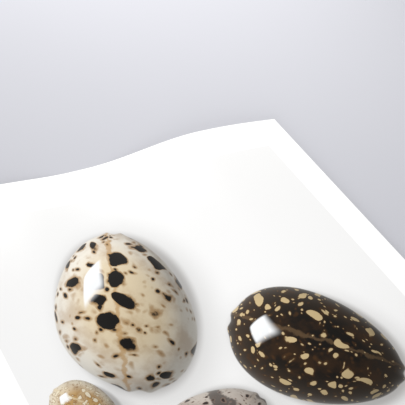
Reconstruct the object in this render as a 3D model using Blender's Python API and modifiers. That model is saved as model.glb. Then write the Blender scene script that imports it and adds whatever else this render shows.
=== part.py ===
"""Art print: one unframed sheet of heavy photo paper, lying on a flat surface.

The sheet keeps some of the curl of its roll, so it lies in a low wave. It touches
the surface along its left edge, along a flat band between two swells and at its
bottom right corner. From there the right edge rises in a straight line, and the
top right corner stands clear of the surface.

Units are metres and +Z is up. The origin is on the surface, below the middle of
the sheet, and +Y points to the top of the picture.
"""

from math import cos, pi, sin

import bmesh
import bpy

INCH = 0.0254

# The sheet before it curls
SHEET_WIDTH = 11 * INCH
SHEET_LENGTH = 14 * INCH
PAPER_THICKNESS = 0.0003

# A swell's run is from a long edge of the sheet to its crest, and its rise is the
# crest's height. The right swell is higher at the top of the sheet
RIGHT_RUN = 0.070
RIGHT_RISE_TOP = 0.0100
RIGHT_RISE_BOTTOM = 0.0065
LEFT_RUN = 0.053
LEFT_RISE = 0.0043

# Height of the top right corner
CORNER_LIFT = 0.0050

# From its crest a swell falls to the flat band over this many runs
FALL_IN_RUNS = 1.2

# The facets of the surface
COLUMNS = 80
ROWS = 4

PAPER_COLOUR = (0.955, 0.955, 0.945, 1.0)
PAPER_ROUGHNESS = 0.38


def clear_scene():
    """Remove what the new file holds."""
    for scene_object in list(bpy.data.objects):
        bpy.data.objects.remove(scene_object)


def width_taken_up(run, rise, lift):
    """How much narrower a swell makes the sheet, from the length of its low curve."""
    return pi**2 / (16 * run) * ((rise - lift) ** 2 + rise**2 / FALL_IN_RUNS)


def half_lying_width():
    """Half the sheet's width as it lies, from the swells half way up the sheet."""
    middle_rise = (RIGHT_RISE_TOP + RIGHT_RISE_BOTTOM) / 2
    right = width_taken_up(RIGHT_RUN, middle_rise, CORNER_LIFT / 2)
    left = width_taken_up(LEFT_RUN, LEFT_RISE, 0)
    return (SHEET_WIDTH - right - left) / 2


def swell_height(distance, run, rise, lift):
    """Height of a swell at a distance from its long edge, which is lifted by lift."""
    if distance < run:
        return lift + (rise - lift) * sin(pi / 2 * distance / run)
    fall = min((distance - run) / (FALL_IN_RUNS * run), 1)
    return rise * (1 + cos(pi * fall)) / 2


def wave_height(x, y):
    """Height of the sheet's underside above the surface that it lies on."""
    share_up = y / SHEET_LENGTH + 0.5
    right_rise = RIGHT_RISE_BOTTOM + (RIGHT_RISE_TOP - RIGHT_RISE_BOTTOM) * share_up
    right = swell_height(half_lying_width() - x, RIGHT_RUN, right_rise, CORNER_LIFT * share_up)
    left = swell_height(half_lying_width() + x, LEFT_RUN, LEFT_RISE, 0)
    return right + left


def paper_material():
    """Satin-coated white photo paper."""
    material = bpy.data.materials.new("photo_paper")
    material.use_nodes = True
    shader = material.node_tree.nodes["Principled BSDF"]
    shader.inputs["Base Color"].default_value = PAPER_COLOUR
    shader.inputs["Roughness"].default_value = PAPER_ROUGHNESS
    shader.inputs["Metallic"].default_value = 0.0
    return material


def wavy_surface():
    """The underside of the sheet: a grid that is bent into the wave."""
    surface = bmesh.new()
    bmesh.ops.create_grid(surface, x_segments=COLUMNS, y_segments=ROWS, size=1)
    for vertex in surface.verts:
        vertex.co.x *= half_lying_width()
        vertex.co.y *= SHEET_LENGTH / 2
        vertex.co.z = wave_height(vertex.co.x, vertex.co.y)
    # Triangles make both faces of the paper split alike
    bmesh.ops.triangulate(surface, faces=surface.faces)
    for edge in surface.edges:
        edge.smooth = not edge.is_boundary
    mesh = bpy.data.meshes.new("print_sheet")
    surface.to_mesh(mesh)
    surface.free()
    mesh.shade_smooth()
    return mesh


def print_sheet():
    """The whole print: the wavy surface, thickened upwards to the paper's thickness."""
    sheet = bpy.data.objects.new("print_sheet", wavy_surface())
    sheet.data.materials.append(paper_material())
    paper = sheet.modifiers.new("paper thickness", "SOLIDIFY")
    paper.thickness = PAPER_THICKNESS
    paper.offset = 1
    paper.use_even_offset = True
    return sheet


def main():
    clear_scene()
    collection = bpy.data.collections.new("art_print")
    bpy.context.scene.collection.children.link(collection)
    collection.objects.link(print_sheet())


main()
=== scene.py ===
from math import cos, pi, radians, sin

import bpy
from bpy.props import FloatProperty, FloatVectorProperty, IntProperty, PointerProperty
from mathutils import Matrix, Vector


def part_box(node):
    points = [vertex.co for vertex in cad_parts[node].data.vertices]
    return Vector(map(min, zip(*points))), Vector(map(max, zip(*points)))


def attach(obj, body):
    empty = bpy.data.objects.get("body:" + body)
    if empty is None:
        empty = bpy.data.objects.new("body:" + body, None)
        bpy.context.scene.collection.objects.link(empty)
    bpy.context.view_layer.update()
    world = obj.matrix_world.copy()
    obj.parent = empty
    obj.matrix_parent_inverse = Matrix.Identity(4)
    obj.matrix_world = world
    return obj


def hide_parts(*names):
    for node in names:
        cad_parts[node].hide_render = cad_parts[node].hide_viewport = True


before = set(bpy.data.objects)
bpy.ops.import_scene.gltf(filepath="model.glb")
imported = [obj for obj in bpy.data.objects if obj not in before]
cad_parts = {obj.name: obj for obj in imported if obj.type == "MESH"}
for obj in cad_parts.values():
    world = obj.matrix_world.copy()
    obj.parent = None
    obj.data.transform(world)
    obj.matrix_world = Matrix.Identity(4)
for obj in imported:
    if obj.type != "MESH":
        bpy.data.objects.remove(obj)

bl_info = {
    "name": "Wavy Art Print",
    "version": (1, 0, 0),
    "blender": (4, 5, 0),
    "location": "View3D > Sidebar > Art Print",
    "description": "An unframed art print on satin photo paper, lying in a low wave on a plain floor",
    "category": "Object",
}

BODY = "root"
SHEET_NODE = "print_sheet"

# The maps of the sheet: its place when it lies flat, in metres, and the map for baking
FLAT_MAP = "Flat"
BAKE_MAP = "OFBake"

INCH = 0.0254
MM = 0.001

# The frame gives the sheet's box as it lies; its width when flat is the paper's own
SHEET_LOW, SHEET_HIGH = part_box(SHEET_NODE)
LYING_SIZE = SHEET_HIGH - SHEET_LOW
FLAT_WIDTH = 11 * INCH

# Socket types of node groups
FLOAT = "NodeSocketFloat"
WHOLE = "NodeSocketInt"
VECTOR = "NodeSocketVector"
COLOUR = "NodeSocketColor"
GEOMETRY = "NodeSocketGeometry"
MATERIAL = "NodeSocketMaterial"

# The range that most noise values lie in
NOISE_RANGE = (0.3, 0.7)


# Formulas as nodes


class Term:
    """A socket that takes part in a formula, whose steps become Math nodes."""

    def __init__(self, tree, socket):
        self.tree = tree
        self.socket = socket

    def math(self, operation, *others):
        """One Math node on this term and the others."""
        step = self.tree.nodes.new("ShaderNodeMath")
        step.operation = operation
        for source, target in zip((self, *others), step.inputs):
            feed(source, target)
        return Term(self.tree, step.outputs[0])

    def __add__(self, other):
        return self.math("ADD", other)

    def __mul__(self, other):
        return self.math("MULTIPLY", other)

    def __sub__(self, other):
        return self.math("SUBTRACT", other)

    def __rsub__(self, other):
        return self.math("MULTIPLY_ADD", -1.0, other)

    def __truediv__(self, other):
        return self.math("DIVIDE", other)

    def __rtruediv__(self, other):
        return self.math("POWER", -1.0) * other

    def __pow__(self, other):
        return self.math("POWER", other)

    def __abs__(self):
        return self.math("ABSOLUTE")

    def root(self):
        return self.math("SQRT")

    def sine(self):
        return self.math("SINE")

    def cosine(self):
        return self.math("COSINE")

    def at_least(self, low):
        return self.math("MAXIMUM", low)

    def at_most(self, high):
        return self.math("MINIMUM", high)

    def ramp(self, start, end, low=0.0, high=1.0):
        """Goes smoothly from low to high while this term goes from start to end."""
        step = self.tree.nodes.new("ShaderNodeMapRange")
        step.interpolation_type = "SMOOTHSTEP"
        names = ("Value", "From Min", "From Max", "To Min", "To Max")
        for source, name in zip((self, start, end, low, high), names):
            feed(source, step.inputs[name])
        return Term(self.tree, step.outputs["Result"])

    def fade(self, start, end, most=1.0):
        """Falls smoothly from most to nothing while this term goes from start to end."""
        return self.ramp(start, end, most, 0.0)

    def over_noise(self, low=0.0, high=1.0):
        """Goes smoothly from low to high over the usual range of a noise value."""
        return self.ramp(*NOISE_RANGE, low, high)

    def vector(self, operation, other=None, scale=None):
        """One Vector Math node on this term."""
        step = self.tree.nodes.new("ShaderNodeVectorMath")
        step.operation = operation
        feed(self, step.inputs[0])
        if other is not None:
            feed(other, step.inputs[1])
        if scale is not None:
            feed(scale, step.inputs["Scale"])
        answer = "Value" if operation in ("DOT_PRODUCT", "LENGTH") else "Vector"
        return Term(self.tree, step.outputs[answer])

    def split(self):
        """The three parts of a vector."""
        parts = node_outputs(self.tree, "ShaderNodeSeparateXYZ", inputs={"Vector": self})
        return [parts[axis] for axis in "XYZ"]


def feed(source, target):
    """Link a term to a socket, or give the socket a plain value."""
    if isinstance(source, Term):
        source.tree.links.new(source.socket, target)
    else:
        target.default_value = source


def node_outputs(tree, kind, options=None, inputs=None):
    """Add a node with its options and inputs. Returns its outputs by name."""
    step = tree.nodes.new(kind)
    for option, value in (options or {}).items():
        setattr(step, option, value)
    for name, source in (inputs or {}).items():
        feed(source, step.inputs[name])
    return {output.name: Term(tree, output) for output in step.outputs}


def add_node(tree, kind, options=None, inputs=None, answer=None):
    """Add a node in the same way. Returns the output named, or else its first one."""
    outputs = node_outputs(tree, kind, options, inputs)
    return outputs[answer] if answer else list(outputs.values())[0]


def join_parts(tree, x, y, z=0.0):
    """A vector from its three parts."""
    return add_node(tree, "ShaderNodeCombineXYZ", inputs={"X": x, "Y": y, "Z": z})


def mix(share, first, second, blend="MIX"):
    """Mix two colours, the second by its share, which is a term."""
    step = share.tree.nodes.new("ShaderNodeMix")
    step.data_type = "RGBA"
    step.blend_type = blend
    feed(share, step.inputs["Factor"])
    colours = [socket for socket in step.inputs if socket.type == "RGBA"]
    feed(first, colours[0])
    feed(second, colours[1])
    result = [socket for socket in step.outputs if socket.type == "RGBA"]
    return Term(share.tree, result[0])


def noise(place, scale, detail=2.0, roughness=0.5, answer=None):
    """A noise value of about 0.5 on average, or three of them as a colour."""
    inputs = {"Vector": place, "Scale": scale, "Detail": detail, "Roughness": roughness}
    return add_node(place.tree, "ShaderNodeTexNoise", inputs=inputs, answer=answer)


def new_group(name, kind, inputs, outputs):
    """A node group with its sockets. Returns the tree, its inputs as terms and its output node."""
    tree = bpy.data.node_groups.new(name, kind)
    for in_out, sockets in (("INPUT", inputs), ("OUTPUT", outputs)):
        for socket_name, socket_type in sockets:
            tree.interface.new_socket(name=socket_name, in_out=in_out, socket_type=socket_type)
    entry = tree.nodes.new("NodeGroupInput")
    given = {socket_name: Term(tree, entry.outputs[socket_name]) for socket_name, _ in inputs}
    return tree, given, tree.nodes.new("NodeGroupOutput")


def use_group(tree, group, values):
    """Place a group in a tree with its own values. Returns its outputs by name."""
    in_shader = tree.bl_idname == "ShaderNodeTree"
    kind = "ShaderNodeGroup" if in_shader else "GeometryNodeGroup"
    return node_outputs(tree, kind, {"node_tree": group}, values)


def new_material(name):
    """A material with an empty Principled shader. Returns the material and the shader."""
    material = bpy.data.materials.new(name)
    material.use_nodes = True
    return material, material.node_tree.nodes["Principled BSDF"]


def with_alpha(colour):
    return (*colour, 1.0)


# The picture: cowrie shells on a pale ground

# Colours of a shell: its back, its rim, its spots, the ring round each spot and
# the line along its back. Cells is how many spots fit in half its width, spot size
# is against their spacing, and bands go across the back
CREAM = {
    "Back": (0.74, 0.62, 0.43),
    "Rim": (0.80, 0.76, 0.68),
    "Spot": (0.006, 0.005, 0.004),
    "Ring": (0.36, 0.20, 0.07),
    "Line": (0.50, 0.30, 0.12),
    "Cells": 2.7,
    "Spot Size": 0.35,
    "Bands": 0.0,
}
BLACK = {
    "Back": (0.010, 0.008, 0.0065),
    "Rim": (0.042, 0.030, 0.021),
    "Spot": (0.60, 0.46, 0.25),
    "Ring": (0.070, 0.032, 0.011),
    "Line": (0.13, 0.08, 0.04),
    "Cells": 4.2,
    "Spot Size": 0.34,
    "Bands": 0.0,
}
MAUVE = {
    "Back": (0.42, 0.35, 0.31),
    "Rim": (0.60, 0.54, 0.48),
    "Spot": (0.045, 0.035, 0.032),
    "Ring": (0.26, 0.18, 0.14),
    "Line": (0.58, 0.50, 0.42),
    "Cells": 4.6,
    "Spot Size": 0.20,
    "Bands": 0.8,
}
OCHRE = {
    "Back": (0.50, 0.31, 0.12),
    "Rim": (0.74, 0.66, 0.52),
    "Spot": (0.78, 0.70, 0.53),
    "Ring": (0.27, 0.14, 0.05),
    "Line": (0.70, 0.58, 0.38),
    "Cells": 3.8,
    "Spot Size": 0.34,
    "Bands": 0.2,
}

# Each shell: its colours, the middle of it on the sheet, half its length and
# width, and its turn in degrees
SHELLS = (
    (CREAM, (-44 * MM, 73 * MM), (53 * MM, 38 * MM), 68),
    (BLACK, (38 * MM, 6 * MM), (49 * MM, 35 * MM), -47),
    (MAUVE, (-42 * MM, -14 * MM), (36 * MM, 25.5 * MM), 16),
    (OCHRE, (-92 * MM, 27 * MM), (17 * MM, 12.5 * MM), -52),
    (CREAM, (50 * MM, -84 * MM), (41 * MM, 29 * MM), 14),
    (OCHRE, (-50 * MM, -92 * MM), (34 * MM, 24.5 * MM), -38),
    (MAUVE, (95 * MM, -34 * MM), (15 * MM, 11 * MM), 60),
    (BLACK, (0, -121 * MM), (19 * MM, 14 * MM), 82),
    (CREAM, (-96 * MM, -58 * MM), (14 * MM, 10.5 * MM), 34),
)

# How far one shell's pattern lies from the next one's in the noise
SEED_STEP = (3.7, 1.9, 0.0)

# A fade goes from its first value to its second one, and a tint is how far a colour
# covers what is below it. Lengths on a shell are in half widths, apart from places
# along it, which are in half lengths, so that both are 1 at its outline

# The outline: an egg that narrows to one end and is a little uneven, with a small
# lip at each end and a notch in it
NARROWING = 0.15
UNEVENNESS = 0.08
UNEVEN_SCALE = 0.9
OUTLINE_BLUR = 0.018
LIP = {"across": (0.08, 0.30), "along": (0.74, 0.98), "depth": 0.035}
NOTCH = {"across": (0.0, 0.15), "along": (0.80, 0.96), "depth": 0.032}

# The height of its back, and the reach past which its height falls no further
BACK_HEIGHT = 0.74
LOWEST_REACH = 0.995

# The pattern lies on a form that is this high. Noise bends it and makes it ragged
SKIN_HEIGHT = 0.8
BEND_SCALE = 2.4
BEND = 0.35
RAGGED_SCALE = 7.0

# The rim, the clouds, the ring round each spot, the spots and the line
RIM_FADE = (0.45, 0.96)
CLOUD_SCALE = 2.2
CLOUD_FADE = (0.42, 0.70)
CLOUD_TINT = 0.4
RING_FADE = (0.0, 0.17)
RING_TINT = 0.85
SPOT_FADE = (-0.025, 0.035)
LINE_PLACE = 0.13
LINE_WAVER = 0.2
LINE_FADE = (0.012, 0.05)
LINE_TINT = 0.7

# The bands go by a sine of so many radians to half a length, and waver with the clouds
BAND_RADIANS = 10.0
BAND_WAVER = 6.0
BAND_FADE = (0.1, 0.7)

# The spots: how far they are scattered, how ragged their edges are, what size even
# the least one has, and how a large one draws in where its neighbour begins
SCATTER = 0.8
RAGGEDNESS = 0.34
LEAST_SPOT = 0.3
GAP_FADE = (0.0, 0.35)
GAP_DEPTH = 0.25

# The small spots between them, against the large ones
SMALL_CELLS = 2.1
SMALL_SIZE = 0.55
SMALL_BLUR = 0.6

# The studio light in the picture: a lamp at the upper left, light from above and
# from the room, and the gleam of the pale ground towards the rim
LAMP_DIRECTION = (-0.48, 0.56, 0.67)
LAMP_LIGHT = 0.66
LIGHT_FROM_ABOVE = 0.10
ROOM_LIGHT = 0.26
GLEAM_POWER = 3.0
GLEAM_TINT = 0.42
GLEAM_COLOUR = (0.70, 0.69, 0.67, 1.0)

# The lamp as the shell mirrors it: a rectangle with soft edges, in a plane one unit
# above the shell, and a little brighter towards its upper side. A mirrored line of
# sight counts as rising by at least this share of its length
LAMP_PLACE = (-0.85, 0.95)
LAMP_FADE_X = (0.38, 0.64)
LAMP_FADE_Y = (0.36, 0.60)
LAMP_TINT = 0.91
LAMP_TINT_SLOPE = 0.10
LAMP_COLOUR = (0.93, 0.95, 0.97, 1.0)
LEAST_RISE = 0.08

# A shell's shadows on the ground: one wide to the lower right, one close round it
SHADOWS = (
    {
        "shift": (6 * MM, -8 * MM, 0.0),
        "fade": (0.55, 1.45),
        "tint": 0.42,
        "colour": (0.30, 0.29, 0.28, 1.0),
    },
    {
        "shift": (1.5 * MM, -2 * MM, 0.0),
        "fade": (0.94, 1.10),
        "tint": 0.50,
        "colour": (0.22, 0.20, 0.18, 1.0),
    },
)


def place_in_shell(given, shift=(0.0, 0.0, 0.0)):
    """Place along and across a shell that is moved by shift."""
    tree = given["Place"].tree
    inputs = {
        "Vector": given["Place"],
        "Location": given["Middle"].vector("ADD", shift),
        "Rotation": join_parts(tree, 0.0, 0.0, given["Turn"]),
        "Scale": given["Half Size"],
    }
    return add_node(tree, "ShaderNodeMapping", {"vector_type": "TEXTURE"}, inputs)


def end_depth(along, across, form):
    """The depth of a lip or a notch, which lies in the middle of each end."""
    return abs(across).fade(*form["across"]) * abs(along).ramp(*form["along"]) * form["depth"]


def egg_outline(place, seed):
    """Place along and across the shell, and the reach from its middle, 1 at its outline."""
    along, across, _ = place.split()
    across = across / (1.0 - along * NARROWING)
    uneven = noise(place.vector("ADD", seed), UNEVEN_SCALE, detail=0.0)
    size = uneven * UNEVENNESS + (1.0 - UNEVENNESS / 2)
    reach = (along * along + across * across).root() * size
    reach = reach - end_depth(along, across, LIP) + end_depth(along, across, NOTCH)
    return along, across, reach


def rounded_form(along, across, reach, given):
    """Height, 1 at the middle, and normal of an ellipsoid that is lower than it is wide."""
    length, width, _ = given["Half Size"].split()
    inner_reach = reach.at_most(LOWEST_REACH)
    height = (1.0 - inner_reach * inner_reach).root()
    upward = height / (width * BACK_HEIGHT)
    outward = join_parts(reach.tree, along / length, across / width, upward)
    turned = add_node(
        reach.tree,
        "ShaderNodeVectorRotate",
        {"rotation_type": "Z_AXIS"},
        {"Vector": outward, "Angle": given["Turn"]},
    )
    return height, turned.vector("NORMALIZE")


def spot_edge(skin, ragged, given):
    """Distance to the edge of the nearest spot, large or small, below zero inside it."""
    bend = noise(skin, BEND_SCALE, detail=1.0, answer="Color")
    bent_skin = skin.vector("ADD", bend.vector("SCALE", scale=BEND))

    def cells(feature, scale):
        """The outputs of one Voronoi texture on the skin."""
        inputs = {"Vector": bent_skin, "Scale": scale, "Randomness": SCATTER}
        return node_outputs(skin.tree, "ShaderNodeTexVoronoi", {"feature": feature}, inputs)

    def edge_in(cell, size):
        """Distance to the edge of the spot in a cell. The spots vary in size."""
        chance = cell["Color"].split()[0]
        return cell["Distance"] + ragged * RAGGEDNESS - size * (chance + LEAST_SPOT)

    large_cell = cells("F1", given["Cells"])
    small_cell = cells("F1", given["Cells"] * SMALL_CELLS)
    large = edge_in(large_cell, given["Spot Size"])
    small = edge_in(small_cell, given["Spot Size"] * SMALL_SIZE) * SMALL_BLUR
    # Large spots draw in where they meet, so no straight cut shows between them
    gap = cells("F2", given["Cells"])["Distance"] - large_cell["Distance"]
    return (large + gap.fade(*GAP_FADE, GAP_DEPTH)).at_most(small)


def patterned_skin(along, across, reach, height, given):
    """The colours of the skin. The pattern narrows towards the rim, as the form turns away."""
    length, width, _ = given["Half Size"].split()
    skin = join_parts(reach.tree, along * length / width, across, height * SKIN_HEIGHT)
    skin = skin.vector("ADD", given["Seed"])
    ragged = noise(skin, RAGGED_SCALE, detail=3.0) - 0.5
    clouded = noise(skin, CLOUD_SCALE, detail=4.0, roughness=0.6)
    edge = spot_edge(skin, ragged, given)
    band = (along * BAND_RADIANS + clouded * BAND_WAVER).sine().ramp(*BAND_FADE)
    line = abs(across - LINE_PLACE + ragged * LINE_WAVER)
    layers = (
        (clouded.ramp(*CLOUD_FADE) * CLOUD_TINT, "Ring"),
        (band * given["Bands"], "Spot"),
        (edge.fade(*RING_FADE, RING_TINT), "Ring"),
        (line.fade(*LINE_FADE, LINE_TINT), "Line"),
        (edge.fade(*SPOT_FADE), "Spot"),
    )
    colour = mix(reach.ramp(*RIM_FADE), given["Back"], given["Rim"])
    for share, layer in layers:
        colour = mix(share, colour, given[layer])
    return colour


def lit_skin(colour, normal):
    """The skin in the studio light, with the lamp mirrored in it."""
    normal_x, normal_y, facing = normal.split()
    lit = normal.vector("DOT_PRODUCT", LAMP_DIRECTION).at_least(0.0)
    shade = lit * LAMP_LIGHT + facing * LIGHT_FROM_ABOVE + ROOM_LIGHT
    colour = colour.vector("SCALE", scale=shade)
    gleam = (1.0 - facing) ** GLEAM_POWER
    colour = mix(gleam * GLEAM_TINT, colour, GLEAM_COLOUR, "SCREEN")

    # Where the line of sight, mirrored by the skin, meets the plane of the lamp
    twice = facing * 2.0
    rise = (facing * twice - 1.0).at_least(LEAST_RISE)
    lamp_x = normal_x * twice / rise - LAMP_PLACE[0]
    lamp_y = normal_y * twice / rise - LAMP_PLACE[1]
    lamp = abs(lamp_x).fade(*LAMP_FADE_X) * abs(lamp_y).fade(*LAMP_FADE_Y)
    return mix(lamp * (lamp_y * LAMP_TINT_SLOPE + LAMP_TINT), colour, LAMP_COLOUR)


def shaded_ground(given):
    """What lies below the shell in the picture, with the shell's shadows on it."""
    ground = given["Below"]
    for shadow in SHADOWS:
        reach = place_in_shell(given, shadow["shift"]).vector("LENGTH")
        share = reach.fade(*shadow["fade"], shadow["tint"])
        ground = mix(share, ground, shadow["colour"], "MULTIPLY")
    return ground


def shell_group():
    """One glossy shell, seen from above, laid over what is below it in the picture."""
    tree, given, leave = new_group(
        "Cowrie shell",
        "ShaderNodeTree",
        [
            ("Below", COLOUR),
            ("Place", VECTOR),
            ("Middle", VECTOR),
            ("Half Size", VECTOR),
            ("Turn", FLOAT),
            ("Seed", VECTOR),
            ("Back", COLOUR),
            ("Rim", COLOUR),
            ("Spot", COLOUR),
            ("Ring", COLOUR),
            ("Line", COLOUR),
            ("Cells", FLOAT),
            ("Spot Size", FLOAT),
            ("Bands", FLOAT),
        ],
        [("Colour", COLOUR)],
    )
    along, across, reach = egg_outline(place_in_shell(given), given["Seed"])
    height, normal = rounded_form(along, across, reach, given)
    skin = lit_skin(patterned_skin(along, across, reach, height, given), normal)
    cover = reach.fade(1.0 - OUTLINE_BLUR, 1.0)
    feed(mix(cover, shaded_ground(given), skin), leave.inputs["Colour"])
    return tree


def picture_colour(tree, flat, settings):
    """The printed picture, as a chain of shells over the ground."""
    _, y, _ = flat.split()
    # The ground is printed grey, and darker towards the top: painted shade that evens out the key
    # light, which falls brightest there
    share_up = y.ramp(0.0, settings.fade_length)
    colour = mix(share_up, with_alpha(settings.ground_low), with_alpha(settings.ground_top))
    shell = shell_group()
    for number, (colours, middle, half_size, turn) in enumerate(SHELLS):
        values = {
            "Below": colour,
            "Place": flat,
            "Middle": (*middle, 0.0),
            "Half Size": (*half_size, 1.0),
            "Turn": radians(turn),
            "Seed": tuple(step * number for step in SEED_STEP),
        }
        for name, value in colours.items():
            values[name] = with_alpha(value) if isinstance(value, tuple) else value
        colour = use_group(tree, shell, values)["Colour"]
    return colour


# Paper

# The grain of the coated face, of the back and of the cut edge
FACE_GRAIN = {"Pebble Size": 0.7 * MM, "Fibre Length": 1.6 * MM, "Cloud Size": 40 * MM}
BACK_GRAIN = {"Pebble Size": 1.4 * MM, "Fibre Length": 3.5 * MM, "Cloud Size": 22 * MM}
EDGE_GRAIN = {"Pebble Size": 0.15 * MM, "Fibre Length": 0.5 * MM, "Cloud Size": 6 * MM}
FACE_RELIEF = 0.02 * MM
BACK_RELIEF = 0.04 * MM
EDGE_RELIEF = 0.03 * MM

# Fibres are longer along the sheet, and pebbles make the most of the relief
FIBRE_STRETCH = (1.0, 0.28, 1.0)
PEBBLE_SHARE = 0.6

# Roughness from the glossiest to the dullest places
FACE_ROUGHNESS = (0.34, 0.39)
BACK_ROUGHNESS = (0.72, 0.82)
EDGE_ROUGHNESS = (0.8, 0.9)

# The ink ends in a fine blur, and is a little glossier than the bare coating
INK_BLUR = 0.05 * MM
INK_GLOSS = 0.04
FACE_SPECULAR = 0.12

# Where the relief of the cut edge shows its core, and where its coatings
CORE_FADE = (0.35, 0.65)


def grain_group():
    """The fine relief and the cloudiness of paper."""
    tree, given, leave = new_group(
        "Paper grain",
        "ShaderNodeTree",
        [("Place", VECTOR), ("Pebble Size", FLOAT), ("Fibre Length", FLOAT), ("Cloud Size", FLOAT)],
        [("Relief", FLOAT), ("Cloud", FLOAT)],
    )
    pebbles = noise(given["Place"], 1.0 / given["Pebble Size"], detail=1.0)
    stretched = given["Place"].vector("MULTIPLY", FIBRE_STRETCH)
    fibres = noise(stretched, 1.0 / given["Fibre Length"], detail=3.0, roughness=0.6)
    clouds = noise(given["Place"], 1.0 / given["Cloud Size"])
    feed(pebbles * PEBBLE_SHARE + fibres * (1.0 - PEBBLE_SHARE), leave.inputs["Relief"])
    feed(clouds, leave.inputs["Cloud"])
    return tree


def finish_shader(shader, colour, roughness, relief, depth):
    """Give a shader its colour, its roughness and its relief of some depth."""
    bump = add_node(relief.tree, "ShaderNodeBump", inputs={"Height": relief, "Distance": depth})
    for name, source in (("Base Color", colour), ("Roughness", roughness), ("Normal", bump)):
        feed(source, shader.inputs[name])


def face_material(grain, sheet, picture):
    """The coated front of the paper: bare in the border, printed inside it."""
    material, shader = new_material("printed_face")
    tree = material.node_tree
    flat = add_node(tree, "ShaderNodeUVMap", {"uv_map": FLAT_MAP})
    x, y, _ = flat.split()
    half_x = sheet.flat_width / 2 - sheet.border
    half_y = sheet.length / 2 - sheet.border
    inside_x = abs(x).fade(half_x - INK_BLUR, half_x + INK_BLUR)
    inside_y = abs(y).fade(half_y - INK_BLUR, half_y + INK_BLUR)
    printed = inside_x * inside_y
    surface = use_group(tree, grain, {"Place": flat, **FACE_GRAIN})
    paper = mix(surface["Cloud"], with_alpha(sheet.paper_colour), with_alpha(sheet.cloud_colour))
    colour = mix(printed, paper, picture_colour(tree, flat, picture))
    roughness = surface["Cloud"].over_noise(*FACE_ROUGHNESS) - printed * INK_GLOSS
    finish_shader(shader, colour, roughness, surface["Relief"], FACE_RELIEF)
    shader.inputs["Specular IOR Level"].default_value = FACE_SPECULAR
    return material


def back_material(grain, sheet):
    """The uncoated back of the paper."""
    material, shader = new_material("paper_back")
    tree = material.node_tree
    flat = add_node(tree, "ShaderNodeUVMap", {"uv_map": FLAT_MAP})
    surface = use_group(tree, grain, {"Place": flat, **BACK_GRAIN})
    share = surface["Cloud"].over_noise()
    colour = mix(share, with_alpha(sheet.back_colour), with_alpha(sheet.cloud_colour))
    roughness = surface["Relief"].over_noise(*BACK_ROUGHNESS)
    finish_shader(shader, colour, roughness, surface["Relief"], BACK_RELIEF)
    return material


def edge_material(grain, sheet):
    """The cut edge, where the fibres of the core show between the two coatings."""
    material, shader = new_material("cut_edge")
    tree = material.node_tree
    place = add_node(tree, "ShaderNodeTexCoord", answer="Object")
    surface = use_group(tree, grain, {"Place": place, **EDGE_GRAIN})
    share = surface["Relief"].ramp(*CORE_FADE)
    colour = mix(share, with_alpha(sheet.core_colour), with_alpha(sheet.paper_colour))
    roughness = surface["Cloud"].over_noise(*EDGE_ROUGHNESS)
    finish_shader(shader, colour, roughness, surface["Relief"], EDGE_RELIEF)
    return material


# The sheet

# Points of its mesh that are closer together than this become one
MERGE_DISTANCE = 1e-6

# A fold that is sharper than this is shaded as an edge, as the rims of the sheet are
SHARP_ANGLE = radians(40)

# Width of the hem round a part of the bake map, and how much of it the cut edge takes
HEM = 0.004
HEM_FILL = 0.8


def swell_group():
    """Height of a swell at a distance from its long edge, which is lifted by lift.

    A quarter of a sine rises to the crest, and half a cosine falls from there to
    the flat band, over so many runs.
    """
    tree, given, leave = new_group(
        "Swell",
        "GeometryNodeTree",
        [
            ("Distance", FLOAT),
            ("Run", FLOAT),
            ("Rise", FLOAT),
            ("Lift", FLOAT),
            ("Fall In Runs", FLOAT),
        ],
        [("Height", FLOAT)],
    )
    runs = given["Distance"] / given["Run"]
    climb = (runs.at_most(1.0) * (pi / 2)).sine()
    climbed = given["Lift"] + (given["Rise"] - given["Lift"]) * climb
    fallen = ((runs - 1.0) / given["Fall In Runs"]).at_least(0.0).at_most(1.0)
    drop = given["Rise"] * (1.0 - (fallen * pi).cosine()) * 0.5
    feed(climbed - drop, leave.inputs["Height"])
    return tree


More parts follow.
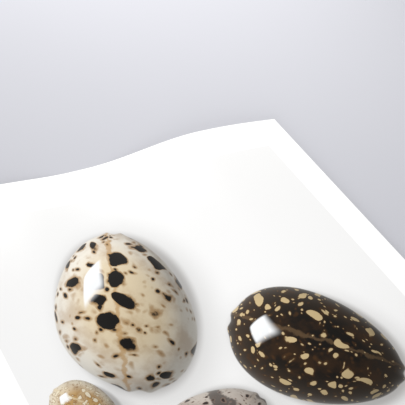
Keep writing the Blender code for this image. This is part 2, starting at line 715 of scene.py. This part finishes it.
def wave_tree():
    """The sheet from a flat grid: bent into its wave, thickened and given its materials."""
    tree, given, leave = new_group(
        "Wavy sheet",
        "GeometryNodeTree",
        [
            ("Lying Width", FLOAT),
            ("Flat Width", FLOAT),
            ("Length", FLOAT),
            ("Thickness", FLOAT),
            ("Right Run", FLOAT),
            ("Right Rise Top", FLOAT),
            ("Right Rise Bottom", FLOAT),
            ("Corner Lift", FLOAT),
            ("Left Run", FLOAT),
            ("Left Rise", FLOAT),
            ("Fall In Runs", FLOAT),
            ("Columns", WHOLE),
            ("Rows", WHOLE),
            ("Face", MATERIAL),
            ("Back", MATERIAL),
            ("Edge", MATERIAL),
        ],
        [("Sheet", GEOMETRY)],
    )
    grid_size = {
        "Size X": given["Lying Width"],
        "Size Y": given["Length"],
        "Vertices X": given["Columns"],
        "Vertices Y": given["Rows"],
    }
    grid = node_outputs(tree, "GeometryNodeMeshGrid", inputs=grid_size)
    from_middle = grid["UV Map"].vector("SUBTRACT", (0.5, 0.5, 0.0))
    flat_size = join_parts(tree, given["Flat Width"], given["Length"])
    flat_place = from_middle.vector("MULTIPLY", flat_size)
    mapped = add_node(
        tree,
        "GeometryNodeStoreNamedAttribute",
        {"data_type": "FLOAT2", "domain": "CORNER"},
        {"Geometry": grid["Mesh"], "Name": FLAT_MAP, "Value": flat_place},
    )

    x, y, _ = add_node(tree, "GeometryNodeInputPosition").split()
    half_width = given["Lying Width"] * 0.5
    share_up = y / given["Length"] + 0.5
    low_rise = given["Right Rise Bottom"]
    swell = swell_group()
    right = {
        "Distance": half_width - x,
        "Run": given["Right Run"],
        "Rise": low_rise + (given["Right Rise Top"] - low_rise) * share_up,
        "Lift": given["Corner Lift"] * share_up,
        "Fall In Runs": given["Fall In Runs"],
    }
    left = {
        "Distance": half_width + x,
        "Run": given["Left Run"],
        "Rise": given["Left Rise"],
        "Lift": 0.0,
        "Fall In Runs": given["Fall In Runs"],
    }
    height = use_group(tree, swell, right)["Height"] + use_group(tree, swell, left)["Height"]
    lift = join_parts(tree, 0.0, 0.0, height)
    moved = {"Geometry": mapped, "Offset": lift}
    underside = add_node(tree, "GeometryNodeSetPosition", inputs=moved)

    thickened = node_outputs(
        tree,
        "GeometryNodeExtrudeMesh",
        {"mode": "FACES"},
        {"Mesh": underside, "Offset Scale": given["Thickness"], "Individual": False},
    )
    lower = add_node(tree, "GeometryNodeFlipFaces", inputs={"Mesh": underside})
    both = tree.nodes.new("GeometryNodeJoinGeometry")
    for half in (thickened["Mesh"], lower):
        feed(half, both.inputs[0])
    halves = {"Geometry": Term(tree, both.outputs[0]), "Distance": MERGE_DISTANCE}
    closed = add_node(tree, "GeometryNodeMergeByDistance", inputs=halves)
    sheet = add_node(tree, "GeometryNodeRealizeInstances", inputs={"Geometry": closed})
    faces = (
        (True, given["Back"]),
        (thickened["Top"], given["Face"]),
        (thickened["Side"], given["Edge"]),
    )
    for selection, material in faces:
        inputs = {"Geometry": sheet, "Selection": selection, "Material": material}
        sheet = add_node(tree, "GeometryNodeSetMaterial", inputs=inputs)
    feed(sheet, leave.inputs["Sheet"])
    return tree


def shape_by_nodes(name, tree, values):
    """A plain mesh object from a geometry node tree, with no modifier left on it."""
    piece = bpy.data.objects.new(name, bpy.data.meshes.new(name))
    bpy.context.scene.collection.objects.link(piece)
    modifier = piece.modifiers.new("shape", "NODES")
    modifier.node_group = tree
    for item in tree.interface.items_tree:
        if item.item_type == "SOCKET" and item.in_out == "INPUT":
            modifier[item.identifier] = values[item.name]
    evaluated = piece.evaluated_get(bpy.context.evaluated_depsgraph_get())
    mesh = bpy.data.meshes.new_from_object(evaluated)
    piece.modifiers.clear()
    piece.data = mesh
    mesh.name = name
    # A grid comes with an empty material slot
    mesh.materials.pop(index=0)
    return piece


def unwrap_for_baking(mesh, sheet):
    """A map with the front large, the back small beside it, and the edge as a thin hem."""
    flat = mesh.uv_layers[FLAT_MAP].data
    baked = mesh.uv_layers.new(name=BAKE_MAP).data
    scale = (1 - 2 * HEM) / sheet.length
    middle = Vector((HEM + sheet.flat_width * scale / 2, 0.5))
    back_scale = (1 - 2 * middle.x - 2 * HEM) / sheet.flat_width
    back_middle = Vector((1 - HEM - sheet.flat_width * back_scale / 2, 0.5))
    names = [material.name for material in mesh.materials]
    front = {
        vertex
        for polygon in mesh.polygons
        if names[polygon.material_index] == "printed_face"
        for vertex in polygon.vertices
    }
    for polygon in mesh.polygons:
        kind = names[polygon.material_index]
        for loop in polygon.loop_indices:
            place = Vector(flat[loop].uv)
            if kind == "paper_back":
                baked[loop].uv = back_middle + place * back_scale
                continue
            baked[loop].uv = middle + place * scale
            if kind == "cut_edge" and mesh.loops[loop].vertex_index not in front:
                outward = Vector((round(polygon.normal.x), round(polygon.normal.y)))
                baked[loop].uv += outward * HEM * HEM_FILL


def width_taken_up(run, rise, lift, fall_in_runs):
    """How much narrower a swell makes the sheet, from the length of its low curve."""
    return pi**2 / (16 * run) * ((rise - lift) ** 2 + rise**2 / fall_in_runs)


def lying_width(sheet):
    """Width between the long edges as the sheet lies, from the swells half way up."""
    middle_rise = (sheet.right_rise_top + sheet.right_rise_bottom) / 2
    fall = sheet.fall_in_runs
    right = width_taken_up(sheet.right_run, middle_rise, sheet.corner_lift / 2, fall)
    left = width_taken_up(sheet.left_run, sheet.left_rise, 0.0, fall)
    return sheet.flat_width - right - left


def lay_sheet(sheet, picture):
    """Make the art print, as one closed piece."""
    grain = grain_group()
    values = {
        "Lying Width": lying_width(sheet),
        "Flat Width": sheet.flat_width,
        "Length": sheet.length,
        "Thickness": sheet.thickness,
        "Right Run": sheet.right_run,
        "Right Rise Top": sheet.right_rise_top,
        "Right Rise Bottom": sheet.right_rise_bottom,
        "Corner Lift": sheet.corner_lift,
        "Left Run": sheet.left_run,
        "Left Rise": sheet.left_rise,
        "Fall In Runs": sheet.fall_in_runs,
        "Columns": sheet.columns,
        "Rows": sheet.rows,
        "Face": face_material(grain, sheet, picture),
        "Back": back_material(grain, sheet),
        "Edge": edge_material(grain, sheet),
    }
    piece = shape_by_nodes("art_print", wave_tree(), values)
    mesh = piece.data
    mesh.shade_smooth()
    mesh.set_sharp_from_angle(angle=SHARP_ANGLE)
    unwrap_for_baking(mesh, sheet)
    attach(piece, BODY)
    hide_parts(SHEET_NODE)


# The stage

# The floor is matt, with clouds of a slightly darker tone, so many to a metre
FLOOR_ROUGHNESS = 0.9
FLOOR_SPECULAR = 0.1
FLOOR_CLOUD_SCALE = 6.0
FLOOR_CLOUD_TONE = 0.97

# Each softbox: its place, the point of the floor that it faces, the length of its
# side, the angle that its grid lets through and its colour
KEY_LIGHT = {
    "place": (0.4, 1.48, 0.92),
    "faces": (0.174, 0.507),
    "side": 0.6,
    "spread": radians(52),
    "colour": (1.0, 0.99, 0.97),
}
LOW_LIGHT = {
    "place": (-1.1, -0.9, 0.35),
    "faces": (0.0, 0.1),
    "side": 0.8,
    "spread": radians(75),
    "colour": (1.0, 1.0, 1.0),
}

# Nearest distance that the camera sees
CLIP_START = 0.01


def lay_floor(stage):
    """A plain pale floor."""
    half = stage.floor_size / 2
    corners = ((-half, -half), (half, -half), (half, half), (-half, half))
    mesh = bpy.data.meshes.new("stage_floor")
    mesh.from_pydata([(x, y, -stage.floor_drop) for x, y in corners], [], [(0, 1, 2, 3)])
    floor = bpy.data.objects.new("stage_floor", mesh)
    bpy.context.scene.collection.objects.link(floor)
    material, shader = new_material("pale_floor")
    place = add_node(material.node_tree, "ShaderNodeTexCoord", answer="Object")
    clouds = noise(place, FLOOR_CLOUD_SCALE, detail=3.0)
    darker = tuple(channel * FLOOR_CLOUD_TONE for channel in stage.floor_colour)
    tone = mix(clouds, with_alpha(stage.floor_colour), with_alpha(darker))
    feed(tone, shader.inputs["Base Color"])
    shader.inputs["Roughness"].default_value = FLOOR_ROUGHNESS
    shader.inputs["Specular IOR Level"].default_value = FLOOR_SPECULAR
    mesh.materials.append(material)


def hang_light(name, watts, place, faces, side, spread, colour):
    """A square softbox with a grid, which faces a point of the floor."""
    lamp = bpy.data.lights.new(name, "AREA")
    lamp.size = side
    lamp.energy = watts
    lamp.color = colour
    lamp.spread = spread
    light = bpy.data.objects.new(name, lamp)
    light.location = place
    light.rotation_mode = "QUATERNION"
    line_of_light = Vector((*faces, 0.0)) - Vector(place)
    light.rotation_quaternion = line_of_light.to_track_quat("-Z", "Y")
    bpy.context.scene.collection.objects.link(light)


def fill_light(stage):
    """The even light of a white room."""
    world = bpy.data.worlds.new("white_room")
    world.use_nodes = True
    background = world.node_tree.nodes["Background"]
    background.inputs["Color"].default_value = with_alpha(stage.room_colour)
    background.inputs["Strength"].default_value = stage.room_strength
    bpy.context.scene.world = world


def place_camera(stage):
    """A camera that looks at a point of the floor, turned about its own line of sight."""
    azimuth, elevation, roll = stage.azimuth, stage.elevation, stage.roll
    back = Vector((sin(azimuth) * cos(elevation), -cos(azimuth) * cos(elevation), sin(elevation)))
    level_right = Vector((cos(azimuth), sin(azimuth), 0.0))
    level_up = back.cross(level_right)
    right = level_right * cos(roll) - level_up * sin(roll)
    up = level_up * cos(roll) + level_right * sin(roll)
    lens = bpy.data.cameras.new("camera")
    lens.lens = stage.lens
    lens.clip_start = CLIP_START
    camera = bpy.data.objects.new("camera", lens)
    turn = Matrix((right, up, back)).transposed().to_4x4()
    place = Vector((*stage.aim, 0.0)) + back * stage.distance
    camera.matrix_world = Matrix.Translation(place) @ turn
    bpy.context.scene.collection.objects.link(camera)
    bpy.context.scene.camera = camera


# Settings


class SheetSettings(bpy.types.PropertyGroup):
    """Sizes and colours of the paper."""

    flat_width: FloatProperty(
        name="Flat width",
        description="Width of the sheet before it curls",
        default=FLAT_WIDTH,
        unit="LENGTH",
    )
    length: FloatProperty(
        name="Length",
        description="Length of the sheet",
        default=LYING_SIZE.y,
        unit="LENGTH",
    )
    thickness: FloatProperty(
        name="Thickness",
        description="Thickness of the paper",
        default=0.3 * MM,
        precision=5,
        unit="LENGTH",
    )
    border: FloatProperty(
        name="Border",
        description="Width of the white border round the picture",
        default=INCH,
        unit="LENGTH",
    )
    right_run: FloatProperty(
        name="Right run",
        description="From the right edge to its crest",
        default=70 * MM,
        unit="LENGTH",
    )
    right_rise_top: FloatProperty(
        name="Right rise, top",
        description="Height of the right crest at the top edge",
        default=10 * MM,
        unit="LENGTH",
    )
    right_rise_bottom: FloatProperty(
        name="Right rise, bottom",
        description="Height of the right crest at the bottom edge",
        default=6.5 * MM,
        unit="LENGTH",
    )
    corner_lift: FloatProperty(
        name="Corner lift",
        description="Height of the top right corner",
        default=5 * MM,
        unit="LENGTH",
    )
    left_run: FloatProperty(
        name="Left run",
        description="From the left edge to its crest",
        default=53 * MM,
        unit="LENGTH",
    )
    left_rise: FloatProperty(
        name="Left rise",
        description="Height of the left crest",
        default=4.3 * MM,
        unit="LENGTH",
    )
    fall_in_runs: FloatProperty(
        name="Fall",
        description="Length of a swell's fall to the flat band, in runs",
        default=1.2,
    )
    columns: IntProperty(
        name="Columns",
        description="Points across the sheet",
        default=177,
        min=2,
    )
    rows: IntProperty(
        name="Rows",
        description="Points along the sheet",
        default=57,
        min=2,
    )
    paper_colour: FloatVectorProperty(
        name="Paper",
        description="Colour of the coated face",
        default=(0.93, 0.93, 0.93),
        subtype="COLOR",
    )
    cloud_colour: FloatVectorProperty(
        name="Cloud",
        description="The paper's slightly darker tone",
        default=(0.905, 0.905, 0.90),
        subtype="COLOR",
    )
    back_colour: FloatVectorProperty(
        name="Back",
        description="Colour of the uncoated back",
        default=(0.88, 0.875, 0.86),
        subtype="COLOR",
    )
    core_colour: FloatVectorProperty(
        name="Core",
        description="Colour of the cut fibres",
        default=(0.80, 0.78, 0.74),
        subtype="COLOR",
    )


class PictureSettings(bpy.types.PropertyGroup):
    """The ground of the picture, printed grey, with painted shade towards its top."""

    ground_low: FloatVectorProperty(
        name="Lower ground",
        description="The ground from the middle of the picture down",
        default=(0.818, 0.818, 0.818),
        subtype="COLOR",
    )
    # Darker than the lower ground: painted shade that evens out the key light, which falls brightest
    # on the top of the picture
    ground_top: FloatVectorProperty(
        name="Upper ground",
        description="The ground at the top of the picture",
        default=(0.745, 0.745, 0.745),
        subtype="COLOR",
    )
    fade_length: FloatProperty(
        name="Fade",
        description="Way up from the picture's middle over which the ground changes",
        default=160 * MM,
        unit="LENGTH",
    )


class StageSettings(bpy.types.PropertyGroup):
    """The floor, the light and the camera."""

    floor_size: FloatProperty(
        name="Floor size",
        description="Side of the floor",
        default=8.0,
        unit="LENGTH",
    )
    floor_drop: FloatProperty(
        name="Floor drop",
        description="Gap that keeps the floor clear of the sheet",
        default=0.05 * MM,
        precision=5,
        unit="LENGTH",
    )
    floor_colour: FloatVectorProperty(
        name="Floor",
        description="Colour of the floor",
        default=(0.488, 0.492, 0.531),
        subtype="COLOR",
    )
    room_colour: FloatVectorProperty(
        name="Room",
        description="Colour of the room's light",
        default=(0.97, 0.98, 1.0),
        subtype="COLOR",
    )
    room_strength: FloatProperty(
        name="Room light",
        description="Strength of the room's light",
        default=0.37,
    )
    key_watts: FloatProperty(
        name="Key light",
        description="Power of the softbox beyond the top edge",
        default=4.85,
        unit="POWER",
    )
    low_watts: FloatProperty(
        name="Low light",
        description="Power of the low softbox on the camera's side",
        default=3.2,
        unit="POWER",
    )
    azimuth: FloatProperty(
        name="Azimuth",
        description="Turn of the camera round the sheet",
        default=radians(-45.837),
        subtype="ANGLE",
    )
    elevation: FloatProperty(
        name="Elevation",
        description="Angle at which the camera looks down",
        default=radians(42.037),
        subtype="ANGLE",
    )
    roll: FloatProperty(
        name="Roll",
        description="Turn of the camera about its line of sight",
        default=radians(-18.362),
        subtype="ANGLE",
    )
    lens: FloatProperty(
        name="Lens",
        description="Focal length of the camera",
        default=67.11,
        unit="CAMERA",
    )
    distance: FloatProperty(
        name="Distance",
        description="From the camera to the point that it looks at",
        default=0.4772,
        unit="LENGTH",
    )
    aim: FloatVectorProperty(
        name="Aim",
        description="Point of the floor at the view's centre",
        size=2,
        default=(0.04244, 0.12642),
        unit="LENGTH",
    )


# Operators and panel


class ARTPRINT_OT_lay_sheet(bpy.types.Operator):
    """Make the printed sheet of paper in its wave"""

    bl_idname = "art_print.lay_sheet"
    bl_label = "Lay the Sheet"

    def execute(self, context):
        lay_sheet(context.scene.art_print_sheet, context.scene.art_print_picture)
        return {"FINISHED"}


class ARTPRINT_OT_set_stage(bpy.types.Operator):
    """Lay the floor, hang the lights and place the camera"""

    bl_idname = "art_print.set_stage"
    bl_label = "Set the Stage"

    def execute(self, context):
        stage = context.scene.art_print_stage
        lay_floor(stage)
        fill_light(stage)
        hang_light("key_light", stage.key_watts, **KEY_LIGHT)
        hang_light("low_light", stage.low_watts, **LOW_LIGHT)
        place_camera(stage)
        context.scene.view_settings.view_transform = "Standard"
        return {"FINISHED"}


class ARTPRINT_PT_panel(bpy.types.Panel):
    """The steps that make the art print"""

    bl_label = "Art Print"
    bl_idname = "ARTPRINT_PT_panel"
    bl_space_type = "VIEW_3D"
    bl_region_type = "UI"
    bl_category = "Art Print"

    def draw(self, context):
        for settings in ("art_print_sheet", "art_print_picture", "art_print_stage"):
            group = getattr(context.scene, settings)
            box = self.layout.box()
            for name in group.__annotations__:
                box.prop(group, name)
        self.layout.operator(ARTPRINT_OT_lay_sheet.bl_idname)
        self.layout.operator(ARTPRINT_OT_set_stage.bl_idname)


CLASSES = (
    SheetSettings,
    PictureSettings,
    StageSettings,
    ARTPRINT_OT_lay_sheet,
    ARTPRINT_OT_set_stage,
    ARTPRINT_PT_panel,
)


def register():
    for each in CLASSES:
        bpy.utils.register_class(each)
    bpy.types.Scene.art_print_sheet = PointerProperty(type=SheetSettings)
    bpy.types.Scene.art_print_picture = PointerProperty(type=PictureSettings)
    bpy.types.Scene.art_print_stage = PointerProperty(type=StageSettings)


def unregister():
    del bpy.types.Scene.art_print_stage
    del bpy.types.Scene.art_print_picture
    del bpy.types.Scene.art_print_sheet
    for each in reversed(CLASSES):
        bpy.utils.unregister_class(each)


def main():
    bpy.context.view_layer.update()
    register()
    bpy.ops.art_print.lay_sheet()
    bpy.ops.art_print.set_stage()


if __name__ == "__main__":
    main()
